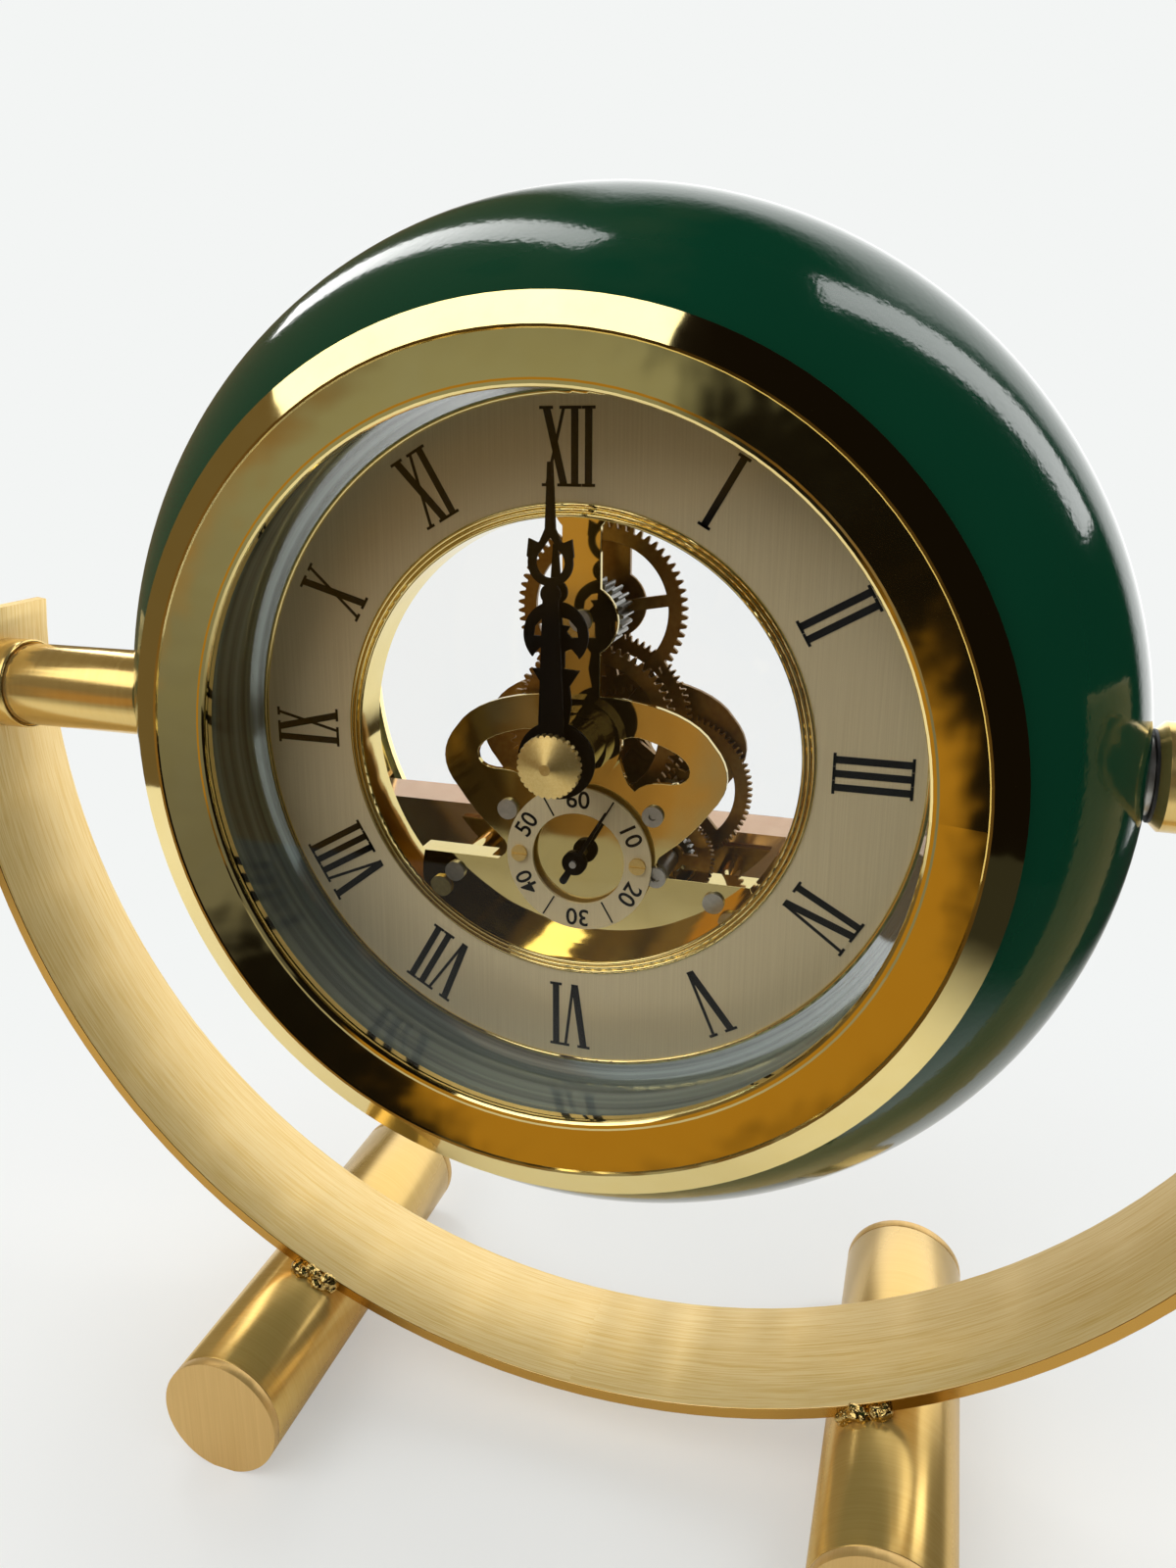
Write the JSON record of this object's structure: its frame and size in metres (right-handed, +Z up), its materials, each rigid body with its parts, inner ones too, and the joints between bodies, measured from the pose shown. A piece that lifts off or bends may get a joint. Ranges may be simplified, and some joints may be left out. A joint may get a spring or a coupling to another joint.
{
  "type": "skeleton table clock",
  "caption": "Skeleton table clock: ring-shaped green case with wide gold bezel, Roman chapter ring and open gear train, tilting on pivots in a half-round yoke on round feet.",
  "frame": {"origin": "on the table, midway between the two feet and midway front to back", "axes": "+X to the viewer's right along the pivots, -Y towards the viewer, +Z up"},
  "size_m": [0.346, 0.109, 0.2984],
  "materials": {
    "brass_band": "satin",
    "polished_brass": "polished",
    "bronze": "satin",
    "steel": "satin",
    "enamel": "gloss",
    "liner": "gloss",
    "glass": "clear",
    "clear_cover": "clear",
    "champagne": "brushed",
    "hand_black": "gloss",
    "black_plastic": "matte",
    "washer": "matte",
    "cell": "satin"
  },
  "bodies": {
    "stand": {"yoke": "brass_band", "foot_left": "brass_band", "foot_right": "brass_band", "foot_caps": "brass_band", "weld_beads": "brass_band", "rod_left": "brass_band", "rod_right": "brass_band", "rod_collars": "brass_band", "pivot_bolts": "steel", "friction_washers": "washer"},
    "case": {"bezel": "polished_brass", "glass_retainer": "polished_brass", "rear_ring": "polished_brass", "chapter_edge_ring": "polished_brass", "window_rim": "polished_brass", "front_plate": "polished_brass", "centre_bush": "polished_brass", "seconds_posts": "polished_brass", "seconds_screws": "polished_brass", "pillars": "polished_brass", "rear_plate": "bronze", "cross_rail": "bronze", "battery_box": "bronze", "pivot_sleeves": "steel", "rear_ring_screws": "steel", "pillar_screws": "steel", "pivot_bushes": "steel", "rail_screws": "steel", "motion_stud": "steel", "intermediate_stud": "steel", "battery_contacts": "steel", "case_shell": "enamel", "liner": "liner", "glass": "glass", "rear_cover": "clear_cover", "chapter_ring": "champagne", "seconds_ring": "champagne", "drive_housing": "black_plastic", "battery": "cell"},
    "minute": {"minute_arbor": "steel", "centre_wheel": "bronze", "centre_show_wheel": "bronze", "cannon_pinion": "steel", "minute_hand": "hand_black", "hand_nut": "polished_brass", "setting_knob": "polished_brass"},
    "hour": {"hour_wheel": "polished_brass", "hour_hand": "hand_black"},
    "motion": {"motion_wheel": "polished_brass"},
    "third": {"third_arbor": "steel", "third_wheel": "bronze"},
    "seconds": {"seconds_arbor": "steel", "seconds_wheel": "bronze", "seconds_hand": "hand_black"},
    "upper": {"upper_arbor": "steel", "upper_wheel": "bronze"},
    "intermediate": {"intermediate_arbor": "steel", "intermediate_wheel": "bronze"},
    "drive": {"drive_pinion": "steel"}
  },
  "joints": [
    {"name": "case_tilt", "type": "hinge", "parent": "stand", "child": "case", "pos_m": [0, 0, 0.18339], "axis": [1, 0, 0], "continuous": true},
    {"name": "minute_turn", "type": "hinge", "parent": "case", "child": "minute", "pos_m": [0, 0, 0.18339], "axis": [0, 1, 0], "continuous": true},
    {"name": "hour_turn", "type": "hinge", "parent": "case", "child": "hour", "pos_m": [0, 0, 0.18339], "axis": [0, 1, 0], "continuous": true},
    {"name": "motion_turn", "type": "hinge", "parent": "case", "child": "motion", "pos_m": [-0.00742, 0, 0.19081], "axis": [0, 1, 0], "continuous": true},
    {"name": "third_turn", "type": "hinge", "parent": "case", "child": "third", "pos_m": [0.01686, 0, 0.16717], "axis": [0, 1, 0], "continuous": true},
    {"name": "seconds_turn", "type": "hinge", "parent": "case", "child": "seconds", "pos_m": [0, 0, 0.15569], "axis": [0, 1, 0], "continuous": true},
    {"name": "upper_turn", "type": "hinge", "parent": "case", "child": "upper", "pos_m": [0, 0, 0.21004], "axis": [0, 1, 0], "continuous": true},
    {"name": "intermediate_turn", "type": "hinge", "parent": "case", "child": "intermediate", "pos_m": [0.01778, 0, 0.15287], "axis": [0, 1, 0], "continuous": true},
    {"name": "drive_turn", "type": "hinge", "parent": "case", "child": "drive", "pos_m": [0.0155, 0, 0.13995], "axis": [0, 1, 0], "continuous": true}
  ],
  "couplings": [
    {"joint": "hour_turn", "follows": "minute_turn", "ratio": 0.083333},
    {"joint": "motion_turn", "follows": "minute_turn", "ratio": -0.33333},
    {"joint": "third_turn", "follows": "minute_turn", "ratio": -8},
    {"joint": "seconds_turn", "follows": "minute_turn", "ratio": 60},
    {"joint": "upper_turn", "follows": "minute_turn", "ratio": -2.7273},
    {"joint": "intermediate_turn", "follows": "minute_turn", "ratio": -180},
    {"joint": "drive_turn", "follows": "minute_turn", "ratio": 720}
  ]
}
